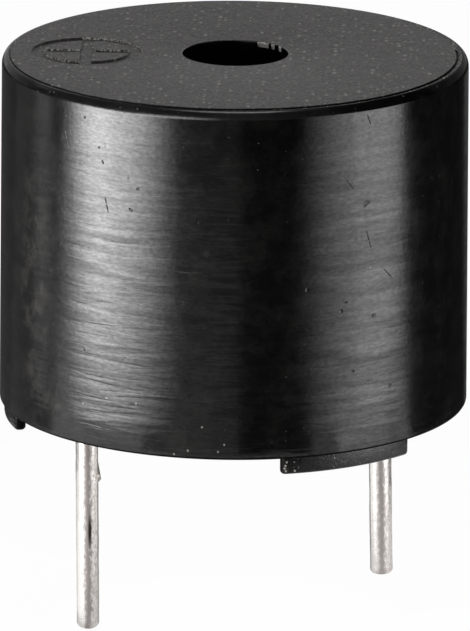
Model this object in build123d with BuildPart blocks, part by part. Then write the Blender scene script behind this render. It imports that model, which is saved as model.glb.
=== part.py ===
from build123d import *
from math import cos, radians, sin, sqrt, tan
import os

# Piezo buzzer for a circuit board, lengths in millimetres.
# A moulded can with a sound port holds a piezo disc, a small drive board and two wire pins.
# The origin is the middle of the seating plane under the three feet. +Z points at the sound port.
# The pins stand on the X axis, the longer positive one at -X.

# Can
case_diameter = 12.0  # at the rim
case_height = 9.5  # seating plane to the top
draft_angle = 0.35  # degrees, the can is narrower at the top
wall = 0.75  # at the rim
top_thickness = 0.9
top_edge_radius = 0.18
port_diameter = 2.7
disc_ledge = 0.6  # width of the step that carries the disc
board_ledge = 0.35  # width of the step that stops the board

# Feet under the rim
foot_count = 3
foot_height = 0.45
foot_span = 37.5  # degrees
foot_first_angle = 182.25  # degrees from +X, so that one foot lies outside the positive pin
foot_inset = 0.12  # from the can's outside
foot_thickness = 0.3
foot_edge_chamfer = 0.08

# Piezo disc
plate_clearance = 0.1  # between the plate and its bore
plate_thickness = 0.15
brass_margin = 1.3  # bare brass around the ceramic
ceramic_thickness = 0.15
bond_thickness = 0.1
bond_setback = 0.05  # from the edges of the ledge and of the plate

# Drive board and the resin under it
board_thickness = 0.8
board_clearance = 0.1
component_space = 1.85  # between the board and the disc
resin_depth = 1.2
resin_recess = 0.3  # from the rim to the resin
resin_creep_height = 0.18  # how far the resin climbs the wall

# Pins
pin_inset = 2.2  # from the can's outside to the middle of a pin, for a pitch of 7.6
pin_diameter = 0.6
pin_inner_diameter = 0.5  # at the end that goes through the drive board
positive_pin_reach = 5.9  # below the seating plane
negative_pin_reach = 4.3
pin_stand_height = 0.5  # above the board
pin_end_chamfer = 0.12
pin_hole_clearance = 0.05
pin_solder_width = 0.35  # from the pin's side
pin_solder_height = 0.35

# Transistor, a small outline package with three gull-wing leads
transistor_length = 2.9
transistor_width = 1.3
transistor_height = 0.95
transistor_gap = 0.05  # body above the board
transistor_taper = 7.0  # degrees
transistor_place_share = 0.5  # of the board's radius
lead_width = 0.4
lead_thickness = 0.12
lead_pitch = 1.9
lead_shoulder_length = 0.15  # body to the bend
lead_foot_length = 0.35

# Chip resistors
chip_length = 1.6
chip_width = 0.8
chip_height = 0.45
chip_cap_length = 0.3
chip_cap_thickness = 0.02  # end caps stand proud of the body
chip_row_share = 0.47  # of the board's radius
chip_pitch_share = 0.33  # of the board's radius
chip_solder_length = 0.22
chip_solder_height = 0.25

# Wires from the disc to the board
wire_diameter = 0.25
wire_gap = 0.03  # between the wire and the ceramic
wire_bend_size = 0.45  # the corner is cut across by this much
wire_landing_share = 0.06  # of the board's radius
wire_pitch_share = 0.25  # of the board's radius
wire_start_share = 0.37  # of the ceramic's radius
dot_radius = 0.42
dot_cover_thickness = 0.06  # solder over the wire
wire_solder_width = 0.25  # from the wire's side
wire_solder_height = 0.35
cone_tip_share = 0.5  # of a solder cone's base

# Heights and radii that follow from these sizes
rim_z = foot_height
resin_z = rim_z + resin_recess
board_bottom_z = resin_z + resin_depth
board_top_z = board_bottom_z + board_thickness
ceramic_bottom_z = board_top_z + component_space
plate_bottom_z = ceramic_bottom_z + ceramic_thickness
plate_top_z = plate_bottom_z + plate_thickness
ledge_z = plate_top_z + bond_thickness
ceiling_z = case_height - top_thickness
rim_radius = case_diameter / 2
top_radius = rim_radius - (case_height - rim_z) * tan(radians(draft_angle))
bore_radius = rim_radius - wall
disc_bore_radius = bore_radius - board_ledge
chamber_radius = disc_bore_radius - disc_ledge
plate_radius = disc_bore_radius - plate_clearance
ceramic_radius = plate_radius - brass_margin
board_radius = bore_radius - board_clearance
pin_radius = pin_diameter / 2
pin_place = rim_radius - pin_inset
wire_radius = wire_diameter / 2
wire_z = ceramic_bottom_z - wire_gap - wire_radius
pin_places = [(-pin_place, 0), (pin_place, 0)]

os.makedirs("parts", exist_ok=True)

# Can: a drafted cup with a stepped bore, a sound port and three feet, moulded as one piece
with BuildPart() as case:
    with BuildSketch(Plane.XZ):
        with BuildLine():
            Polyline(
                (0, case_height),
                (top_radius, case_height),
                (rim_radius, rim_z),
                (bore_radius, rim_z),
                (bore_radius, board_top_z),
                (disc_bore_radius, board_top_z),
                (disc_bore_radius, ledge_z),
                (chamber_radius, ledge_z),
                (chamber_radius, ceiling_z),
                (0, ceiling_z),
                close=True,
            )
        make_face()
    revolve(axis=Axis.Z)
    top_circle = case.edges().filter_by(GeomType.CIRCLE).group_by(Axis.Z)[-1]
    fillet(top_circle, top_edge_radius)
    with Locations((0, 0, case_height)):
        Hole(port_diameter / 2, depth=top_thickness)
    for foot in range(foot_count):
        start = radians(foot_first_angle + foot * 360 / foot_count - foot_span / 2)
        foot_end = Plane((0, 0, 0), x_dir=(cos(start), sin(start), 0), z_dir=(sin(start), -cos(start), 0))
        with BuildSketch(foot_end):
            with Locations((rim_radius - foot_inset, 0)):
                Rectangle(foot_thickness, foot_height, align=(Align.MAX, Align.MIN))
        revolve(axis=Axis.Z, revolution_arc=foot_span)
    chamfer(case.edges().group_by(Axis.Z)[0], foot_edge_chamfer)
case.part.label = "case"
export_step(case.part, "parts/case.step")

# Piezo disc: a brass plate bonded to its ledge, with the ceramic on the side that faces the board
with BuildPart() as bond_ring:
    with BuildSketch(Plane.XY.offset(plate_top_z)):
        Circle(plate_radius - bond_setback)
        Circle(chamber_radius + bond_setback, mode=Mode.SUBTRACT)
    extrude(amount=bond_thickness)
bond_ring.part.label = "bond_ring"
export_step(bond_ring.part, "parts/bond_ring.step")

with BuildPart() as brass_plate:
    with BuildSketch(Plane.XY.offset(plate_bottom_z)):
        Circle(plate_radius)
    extrude(amount=plate_thickness)
brass_plate.part.label = "brass_plate"
export_step(brass_plate.part, "parts/brass_plate.step")

with BuildPart() as piezo_ceramic:
    with BuildSketch(Plane.XY.offset(ceramic_bottom_z)):
        Circle(ceramic_radius)
    extrude(amount=ceramic_thickness)
piezo_ceramic.part.label = "piezo_ceramic"
export_step(piezo_ceramic.part, "parts/piezo_ceramic.step")

# Pins: straight tinned wires with a chamfered lower end, drawn thinner inside the can
pin_reaches = {"positive_pin": positive_pin_reach, "negative_pin": negative_pin_reach}
pin_top_z = board_top_z + pin_stand_height
pins = []
for (name, reach), (x, y) in zip(pin_reaches.items(), pin_places):
    with BuildPart() as pin:
        with BuildSketch(Plane.XZ):
            with BuildLine():
                Polyline(
                    (x, -reach),
                    (x + pin_radius, -reach),
                    (x + pin_radius, rim_z),
                    (x + pin_inner_diameter / 2, pin_top_z),
                    (x, pin_top_z),
                    close=True,
                )
            make_face()
        revolve(axis=Axis((x, y, 0), (0, 0, 1)))
        chamfer(pin.edges().group_by(Axis.Z)[0], pin_end_chamfer)
    pins.append(pin.part)
    pin.part.label = name
    export_step(pin.part, f"parts/{name}.step")

# Drive board with a clearance hole for each pin
with BuildPart() as circuit_board:
    with BuildSketch(Plane.XY.offset(board_bottom_z)):
        Circle(board_radius)
        with Locations(*pin_places):
            Circle(pin_radius + pin_hole_clearance, mode=Mode.SUBTRACT)
    extrude(amount=board_thickness)
circuit_board.part.label = "circuit_board"
export_step(circuit_board.part, "parts/circuit_board.step")

# Sealing resin: poured round the pins, with its edge climbing the wall
with BuildPart() as sealing_resin:
    with BuildSketch(Plane.XZ):
        with BuildLine():
            Polyline(
                (0, resin_z),
                (bore_radius - resin_creep_height, resin_z),
                (bore_radius, resin_z - resin_creep_height),
                (bore_radius, board_bottom_z),
                (0, board_bottom_z),
                close=True,
            )
        make_face()
    revolve(axis=Axis.Z)
    add(pins, mode=Mode.SUBTRACT)
sealing_resin.part.label = "sealing_resin"
export_step(sealing_resin.part, "parts/sealing_resin.step")


# Transistor: a moulded body that tapers both ways from its leads
transistor_y = transistor_place_share * board_radius
transistor_base_z = board_top_z + transistor_gap
lead_z = transistor_base_z + transistor_height / 2
with BuildPart() as drive_transistor:
    with BuildSketch(Plane.XY.offset(lead_z)) as outline:
        with Locations((0, transistor_y)):
            Rectangle(transistor_length, transistor_width)
    extrude(amount=transistor_height / 2, taper=transistor_taper)
    extrude(outline.sketch, amount=-transistor_height / 2, taper=transistor_taper)
drive_transistor.part.label = "drive_transistor"
export_step(drive_transistor.part, "parts/drive_transistor.step")

with BuildPart() as transistor_leads:
    body_side = transistor_width / 2
    bend_inside = body_side + lead_shoulder_length
    half_lead = lead_thickness / 2
    lead_places = [(-lead_pitch / 2, -1), (lead_pitch / 2, -1), (0, 1)]
    for x, side in lead_places:
        with BuildSketch(Plane.YZ.offset(x)):
            with BuildLine():
                Polyline(
                    (transistor_y + side * body_side, lead_z + half_lead),
                    (transistor_y + side * (bend_inside + lead_thickness), lead_z + half_lead),
                    (transistor_y + side * (bend_inside + lead_thickness), board_top_z + lead_thickness),
                    (transistor_y + side * (bend_inside + lead_foot_length), board_top_z + lead_thickness),
                    (transistor_y + side * (bend_inside + lead_foot_length), board_top_z),
                    (transistor_y + side * bend_inside, board_top_z),
                    (transistor_y + side * bend_inside, lead_z - half_lead),
                    (transistor_y + side * body_side, lead_z - half_lead),
                    close=True,
                )
            make_face()
        extrude(amount=lead_width / 2, both=True)
transistor_leads.part.label = "transistor_leads"
export_step(transistor_leads.part, "parts/transistor_leads.step")

# Chip resistors: a flat ceramic body with a cap on each end
chip_row_y = -chip_row_share * board_radius
chip_pitch = chip_pitch_share * board_radius
chip_places = {"base_resistor": -chip_pitch, "load_resistor": 0, "feedback_resistor": chip_pitch}
body_height = chip_height - 2 * chip_cap_thickness
for name, x in chip_places.items():
    with BuildPart() as chip:
        with BuildSketch(Plane.XY.offset(board_top_z + chip_cap_thickness)):
            with Locations((x, chip_row_y)):
                Rectangle(chip_width - 2 * chip_cap_thickness, chip_length - chip_cap_length)
        extrude(amount=body_height)
        with BuildSketch(Plane.XY.offset(board_top_z)):
            with Locations((x, chip_row_y)):
                with GridLocations(0, chip_length - chip_cap_length, 1, 2):
                    Rectangle(chip_width, chip_cap_length)
        extrude(amount=chip_height)
    chip.part.label = name
    export_step(chip.part, f"parts/{name}.step")

# Solder wedges against the chips' caps and the leads' feet
wedges = []
for x, side in lead_places:
    lead_tip_y = transistor_y + side * (bend_inside + lead_foot_length)
    wedges.append((x, lead_tip_y, side, lead_width, lead_thickness))
for x in chip_places.values():
    for side in (-1, 1):
        wedges.append((x, chip_row_y + side * chip_length / 2, side, chip_width, chip_solder_height))
with BuildPart() as chip_solder:
    for x, y, side, width, rise in wedges:
        with BuildSketch(Plane.YZ.offset(x)):
            with BuildLine():
                Polyline(
                    (y, board_top_z),
                    (y + side * chip_solder_length, board_top_z),
                    (y, board_top_z + rise),
                    close=True,
                )
            make_face()
        extrude(amount=width / 2, both=True)
chip_solder.part.label = "chip_solder"
export_step(chip_solder.part, "parts/chip_solder.step")

# Wires: along the disc from their solder dots, then down to the board
landing_y = wire_landing_share * board_radius
wire_pitch = wire_pitch_share * board_radius
ceramic_start_y = -wire_start_share * ceramic_radius
margin_radius = (ceramic_radius + plate_radius) / 2
margin_start_y = -sqrt(margin_radius**2 - wire_pitch**2)
wire_starts = {
    "main_wire": (-wire_pitch, ceramic_start_y, ceramic_bottom_z),
    "feedback_wire": (0, ceramic_start_y, ceramic_bottom_z),
    "ground_wire": (wire_pitch, margin_start_y, plate_bottom_z),
}
wires = []
for name, (x, y, face_z) in wire_starts.items():
    with BuildPart() as wire:
        with BuildLine() as route:
            Polyline(
                (x, y, wire_z),
                (x, landing_y - wire_bend_size, wire_z),
                (x, landing_y, wire_z - wire_bend_size),
                (x, landing_y, board_top_z),
            )
        with BuildSketch(Plane(origin=route.line @ 0, z_dir=route.line % 0)):
            Circle(wire_radius)
        sweep(transition=Transition.RIGHT)
    wires.append(wire.part)
    wire.part.label = name
    export_step(wire.part, f"parts/{name}.step")


# Solder round the pins and wires: cones on the board and on the disc, each with its core taken out
dot_tip_z = wire_z - wire_radius - dot_cover_thickness
pin_cone_z = board_top_z + pin_solder_height
wire_cone_z = board_top_z + wire_solder_height
pin_cone_radius = pin_radius + pin_solder_width
wire_cone_radius = wire_radius + wire_solder_width
pin_cones = [(x, y, board_top_z, pin_cone_z, pin_cone_radius) for x, y in pin_places]
wire_cones = [(x, landing_y, board_top_z, wire_cone_z, wire_cone_radius) for x, y, z in wire_starts.values()]
dots = [(x, y, face_z, dot_tip_z, dot_radius) for x, y, face_z in wire_starts.values()]
solder_cones = {
    "pin_solder": (pins, pin_cones),
    "wire_solder": (wires, wire_cones),
    "disc_solder": (wires, dots),
}
for name, (cores, cones) in solder_cones.items():
    with BuildPart() as solder:
        for x, y, base_z, tip_z, base_radius in cones:
            with BuildSketch(Plane.XZ.offset(-y)):
                with BuildLine():
                    Polyline(
                        (x, base_z),
                        (x + base_radius, base_z),
                        (x + base_radius * cone_tip_share, tip_z),
                        (x, tip_z),
                        close=True,
                    )
                make_face()
            revolve(axis=Axis((x, y, 0), (0, 0, 1)))
        add(cores, mode=Mode.SUBTRACT)
    solder.part.label = name
    export_step(solder.part, f"parts/{name}.step")
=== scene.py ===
"""Studio scene of a round black piezo buzzer that stands on its longer pin.

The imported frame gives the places. The can and its two pins get new meshes with the detail that the eye comes close to,
and the pieces inside keep their solids and get finishes of their own.
"""

import logging
import math
from collections.abc import Callable
from dataclasses import dataclass, field
from enum import Enum

import bmesh
import bpy
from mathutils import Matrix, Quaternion, Vector


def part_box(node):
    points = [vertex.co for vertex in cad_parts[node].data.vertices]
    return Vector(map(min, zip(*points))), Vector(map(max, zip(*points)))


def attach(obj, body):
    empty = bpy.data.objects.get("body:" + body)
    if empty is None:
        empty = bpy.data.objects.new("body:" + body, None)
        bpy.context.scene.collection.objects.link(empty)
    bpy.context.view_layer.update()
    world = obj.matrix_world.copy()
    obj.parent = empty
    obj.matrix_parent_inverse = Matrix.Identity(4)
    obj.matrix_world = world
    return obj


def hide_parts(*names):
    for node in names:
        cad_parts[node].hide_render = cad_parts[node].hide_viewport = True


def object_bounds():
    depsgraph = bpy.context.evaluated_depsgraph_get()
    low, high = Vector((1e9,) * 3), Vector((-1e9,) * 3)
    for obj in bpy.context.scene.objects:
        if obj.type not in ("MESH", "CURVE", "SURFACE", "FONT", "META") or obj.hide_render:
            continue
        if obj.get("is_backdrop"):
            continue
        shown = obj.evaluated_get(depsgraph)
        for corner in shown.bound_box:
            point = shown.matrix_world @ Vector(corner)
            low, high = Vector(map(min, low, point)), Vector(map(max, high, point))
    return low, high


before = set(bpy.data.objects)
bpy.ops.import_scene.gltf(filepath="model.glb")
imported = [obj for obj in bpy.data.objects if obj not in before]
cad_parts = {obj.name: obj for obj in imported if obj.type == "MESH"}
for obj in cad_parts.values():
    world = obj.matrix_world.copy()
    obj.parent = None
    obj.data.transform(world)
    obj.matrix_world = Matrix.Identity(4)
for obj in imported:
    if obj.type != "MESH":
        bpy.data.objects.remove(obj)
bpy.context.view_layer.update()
MM = 0.001
ROOT = "root"
LOG = logging.getLogger("buzzer")
Part = bmesh.types.BMVert | bmesh.types.BMEdge | bmesh.types.BMFace

# Socket numbers of a colour Mix node, whose socket names repeat
MIX_FACTOR, MIX_A, MIX_B, MIX_RESULT = 0, 6, 7, 2
# Levels that most of a noise texture lies between
NOISE_LOW, NOISE_HIGH = 0.3, 0.7
# Share of a mark's size within which it is at full strength
MARK_CORE = 0.4
# Heights closer than this count as one
NEAR = 0.01 * MM


class Element(Enum):
    """What an edit-mode selection is made of."""

    VERTEX = "VERT"
    EDGE = "EDGE"
    FACE = "FACE"


def linear(code: str) -> tuple[float, float, float, float]:
    """Turns an sRGB hex colour into the linear one that a socket takes.

    Args:
        code: The colour as "#rrggbb".

    Returns:
        Linear red, green, blue and an alpha of one.
    """
    red, green, blue = (int(code[place:place + 2], 16) / 255 for place in (1, 3, 5))
    return tuple(c / 12.92 if c <= 0.04045 else ((c + 0.055) / 1.055) ** 2.4 for c in (red, green, blue)) + (1.0,)


def add(tree: bpy.types.NodeTree, kind: str, inputs: dict[str | int, object] | None = None, out: str | int = 0,
        **settings: object) -> bpy.types.NodeSocket:
    """Adds a node, with its settings, its constant inputs and its links.

    Args:
        tree: The node tree that it goes in.
        kind: The node's type name, without the "ShaderNode" that each of them starts with.
        inputs: For each input's name or number, a constant or the socket that feeds it.
        out: The name or number of the output that is wanted.
        **settings: Properties of the node itself.

    Returns:
        That output, which also leads to the node and its other outputs.
    """
    node = tree.nodes.new(f"ShaderNode{kind}")
    for name, value in settings.items():
        setattr(node, name, value)
    for key, value in (inputs or {}).items():
        if isinstance(value, bpy.types.NodeSocket):
            tree.links.new(value, node.inputs[key])
        else:
            node.inputs[key].default_value = value
    return node.outputs[out]


def start_edit(piece: bpy.types.Object) -> None:
    """Makes one piece the only selected one and opens it in edit mode.

    Args:
        piece: The piece to edit.
    """
    bpy.ops.object.select_all(action="DESELECT")
    piece.select_set(True)
    bpy.context.view_layer.objects.active = piece
    bpy.ops.object.mode_set(mode="EDIT")


def end_edit() -> None:
    """Goes back to object mode."""
    bpy.ops.object.mode_set(mode="OBJECT")


def pick(piece: bpy.types.Object, element: Element, test: Callable[[Part], bool]) -> None:
    """Selects the parts of a piece in edit mode that pass a test.

    Args:
        piece: The piece that is open in edit mode.
        element: Whether vertices, edges or faces are selected.
        test: Says of each one whether it is selected.
    """
    bpy.ops.mesh.select_mode(type=element.value)
    bpy.ops.mesh.select_all(action="DESELECT")
    mesh = bmesh.from_edit_mesh(piece.data)
    parts = {Element.VERTEX: mesh.verts, Element.EDGE: mesh.edges, Element.FACE: mesh.faces}[element]
    for part in parts:
        part.select_set(bool(test(part)))
    mesh.select_flush_mode()
    bmesh.update_edit_mesh(piece.data)


def turn(name: str, rings: list[tuple[float, float]], steps: int, centre: tuple[float, float] = (0.0, 0.0),
         closed: bool = False) -> bpy.types.Object:
    """Turns a profile about an upright axis, ring by ring, from a circle that is extruded and resized.

    Args:
        name: The new piece's name.
        rings: The profile's radius and height at each ring.
        steps: Vertices in a ring.
        centre: Where the axis stands.
        closed: Whether the last ring is bridged to the first; otherwise both end rings are filled.

    Returns:
        The turned piece.
    """
    radius, height = rings[0]
    bpy.ops.object.select_all(action="DESELECT")
    bpy.ops.mesh.primitive_circle_add(vertices=steps, radius=radius, location=(*centre, height))
    piece = bpy.context.object
    piece.name = piece.data.name = name
    bpy.ops.object.transform_apply(location=True, rotation=True, scale=True)
    start_edit(piece)
    bpy.ops.mesh.select_mode(type=Element.EDGE.value)
    bpy.ops.mesh.select_all(action="SELECT")
    if not closed:
        bpy.ops.mesh.edge_face_add()
        pick(piece, Element.EDGE, lambda edge: True)
    for next_radius, next_height in rings[1:]:
        bpy.ops.mesh.extrude_edges_move(TRANSFORM_OT_translate={"value": (0, 0, next_height - height)})
        scale = next_radius / radius
        bpy.ops.transform.resize(value=(scale, scale, 1), center_override=(*centre, next_height))
        radius, height = next_radius, next_height
    if closed:
        pick(piece, Element.EDGE, lambda edge: edge.is_boundary)
        bpy.ops.mesh.bridge_edge_loops()
    else:
        bpy.ops.mesh.edge_face_add()
    bpy.ops.mesh.select_all(action="SELECT")
    bpy.ops.mesh.normals_make_consistent(inside=False)
    end_edit()
    return piece


def arc(centre: tuple[float, float], radius: float, start: float, end: float, steps: int) -> list[tuple[float, float]]:
    """Gives the rings of a rounded edge.

    Args:
        centre: Radius and height of the rounding's own centre.
        radius: The rounding's radius.
        start: First angle in degrees, where 0 points outwards and 90 up.
        end: Last angle in degrees.
        steps: How many steps lie between them.

    Returns:
        Radius and height of each ring, both ends included.
    """
    angles = [math.radians(start + (end - start) * step / steps) for step in range(steps + 1)]
    return [(centre[0] + radius * math.cos(angle), centre[1] + radius * math.sin(angle)) for angle in angles]


def smooth(piece: bpy.types.Object, angle: float) -> None:
    """Shades a piece smooth, apart from edges that are sharper than an angle.

    Args:
        piece: The piece to shade.
        angle: The angle in degrees.
    """
    bpy.ops.object.select_all(action="DESELECT")
    piece.select_set(True)
    bpy.context.view_layer.objects.active = piece
    bpy.ops.object.shade_smooth_by_angle(angle=math.radians(angle))


def cut(piece: bpy.types.Object, cutter: bpy.types.Object) -> None:
    """Cuts one shape out of a piece and deletes the cutter.

    Args:
        piece: The piece that is cut.
        cutter: The shape that is taken away.
    """
    bpy.ops.object.select_all(action="DESELECT")
    bpy.context.view_layer.objects.active = piece
    boolean = piece.modifiers.new("cut", "BOOLEAN")
    boolean.operation = "DIFFERENCE"
    boolean.solver = "EXACT"
    boolean.object = cutter
    bpy.ops.object.modifier_apply(modifier=boolean.name)
    bpy.data.objects.remove(cutter, do_unlink=True)


@dataclass(frozen=True)
class Finish:
    """A material, named for what it is and how its surface was made.

    Attributes:
        name: The material's name.
        colour: sRGB hex colour.
        roughness: Mean roughness.
        metallic: One for a metal.
        ior: Refractive index, which a metal leaves at the default.
        specular: Specular level, where a half is a clean surface.
    """

    name: str
    colour: str
    roughness: float
    metallic: float = 0.0
    ior: float = 1.5
    specular: float = 0.5

    def material(self) -> bpy.types.Material:
        """Makes the material and its pattern.

        Returns:
            The new material.
        """
        made = bpy.data.materials.new(self.name)
        made.use_nodes = True
        shader = made.node_tree.nodes["Principled BSDF"]
        shader.inputs["Base Color"].default_value = linear(self.colour)
        shader.inputs["Roughness"].default_value = self.roughness
        shader.inputs["Metallic"].default_value = self.metallic
        if not self.metallic:
            shader.inputs["IOR"].default_value = self.ior
            shader.inputs["Specular IOR Level"].default_value = self.specular
        self.pattern(made.node_tree, shader)
        return made

    def pattern(self, tree: bpy.types.NodeTree, shader: bpy.types.Node) -> None:
        """Adds what varies over the surface; a plain finish has nothing that does.

        Args:
            tree: The material's node tree.
            shader: Its surface shader.
        """

    def paint(self, tree: bpy.types.NodeTree, shader: bpy.types.Node,
              layers: list[tuple[bpy.types.NodeSocket, str]]) -> None:
        """Lays shades over the base colour, one over the other.

        Args:
            tree: The material's node tree.
            shader: Its surface shader.
            layers: How far each shade covers what is under it, and its sRGB hex colour.
        """
        tint = linear(self.colour)
        for share, shade in layers:
            tint = add(tree, "Mix", {MIX_FACTOR: share, MIX_A: tint, MIX_B: linear(shade)}, MIX_RESULT,
                       data_type="RGBA")
        tree.links.new(tint, shader.inputs["Base Color"])


@dataclass(frozen=True)
class Grained(Finish):
    """A surface with one kind of uneven grain, in colour, gloss and height.

    Attributes:
        shade: Colour at the other end of the grain.
        grain: Grain size along each axis.
        depth: Height of the grain.
        gloss_spread: How far roughness goes either way.
        detail: Finer layers in the grain.
    """

    shade: str = "#000000"
    grain: tuple[float, float, float] = (MM, MM, MM)
    depth: float = 0.0
    gloss_spread: float = 0.05
    detail: float = 3.0

    def pattern(self, tree: bpy.types.NodeTree, shader: bpy.types.Node) -> None:
        """Adds the grain.

        Args:
            tree: The material's node tree.
            shader: Its surface shader.
        """
        place = add(tree, "TexCoord", out="Object")
        spread = add(tree, "Mapping", {"Vector": place, "Scale": [1 / size for size in self.grain]})
        grain = add(tree, "TexNoise", {"Vector": spread, "Scale": 1.0, "Detail": self.detail})
        tone = add(tree, "MapRange", {"Value": grain, "From Min": NOISE_LOW, "From Max": NOISE_HIGH})
        gloss = add(tree, "MapRange", {"Value": tone, "To Min": self.roughness - self.gloss_spread,
                                       "To Max": self.roughness + self.gloss_spread})
        bump = add(tree, "Bump", {"Height": grain, "Strength": 1.0, "Distance": self.depth})
        self.paint(tree, shader, [(tone, self.shade)])
        tree.links.new(gloss, shader.inputs["Roughness"])
        tree.links.new(bump, shader.inputs["Normal"])


@dataclass(frozen=True)
class Mark:
    """A small mark at its own place on a surface.

    Attributes:
        place: Its middle, along the surface: round and up the wall, or across and along the top.
        size: Half its width and half its height.
        lean: Degrees that it leans over.
    """

    place: tuple[float, float]
    size: tuple[float, float]
    lean: float = 0.0


def show_marks(tree: bpy.types.NodeTree, skin: bpy.types.NodeSocket, marks: tuple[Mark, ...]) -> bpy.types.NodeSocket:
    """Adds the nodes that show a set of marks.

    Args:
        tree: The material's node tree.
        skin: The place along the surface.
        marks: The marks.

    Returns:
        A socket that is one in the middle of a mark and nought off it.
    """
    shown = None
    for mark in marks:
        local = add(tree, "Mapping", {"Vector": skin, "Location": (*mark.place, 0.0),
                                      "Rotation": (0.0, 0.0, math.radians(mark.lean)),
                                      "Scale": (*mark.size, 1.0)}, vector_type="TEXTURE")
        off = add(tree, "VectorMath", {0: local}, "Value", operation="LENGTH")
        here = add(tree, "MapRange", {"Value": off, "From Min": 1.0, "From Max": MARK_CORE})
        shown = here if shown is None else add(tree, "Math", {0: shown, 1: here}, operation="MAXIMUM")
    return shown


def show_specks(tree: bpy.types.NodeTree, skin: bpy.types.NodeSocket, pitch: float, radius: float,
                share: float) -> bpy.types.NodeSocket:
    """Adds the nodes that scatter round specks over a surface.

    Args:
        tree: The material's node tree.
        skin: The place along the surface.
        pitch: Mean spacing of the places where a speck may lie.
        radius: The largest speck's radius.
        share: The share of places that have one.

    Returns:
        A socket that is up to one in a speck and nought off it.
    """
    away = add(tree, "TexVoronoi", {"Vector": skin, "Scale": 1 / pitch}, "Distance", voronoi_dimensions="2D")
    lots = add(tree, "SeparateColor", {"Color": away.node.outputs["Color"]}).node.outputs
    size = add(tree, "MapRange", {"Value": lots["Red"], "From Min": 1 - share, "From Max": 1.0,
                                  "To Max": radius / pitch})
    speck = add(tree, "MapRange", {"Value": away, "From Min": size, "From Max": 0.0})
    return add(tree, "Math", {0: speck, 1: lots["Green"]}, operation="MULTIPLY")


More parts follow.
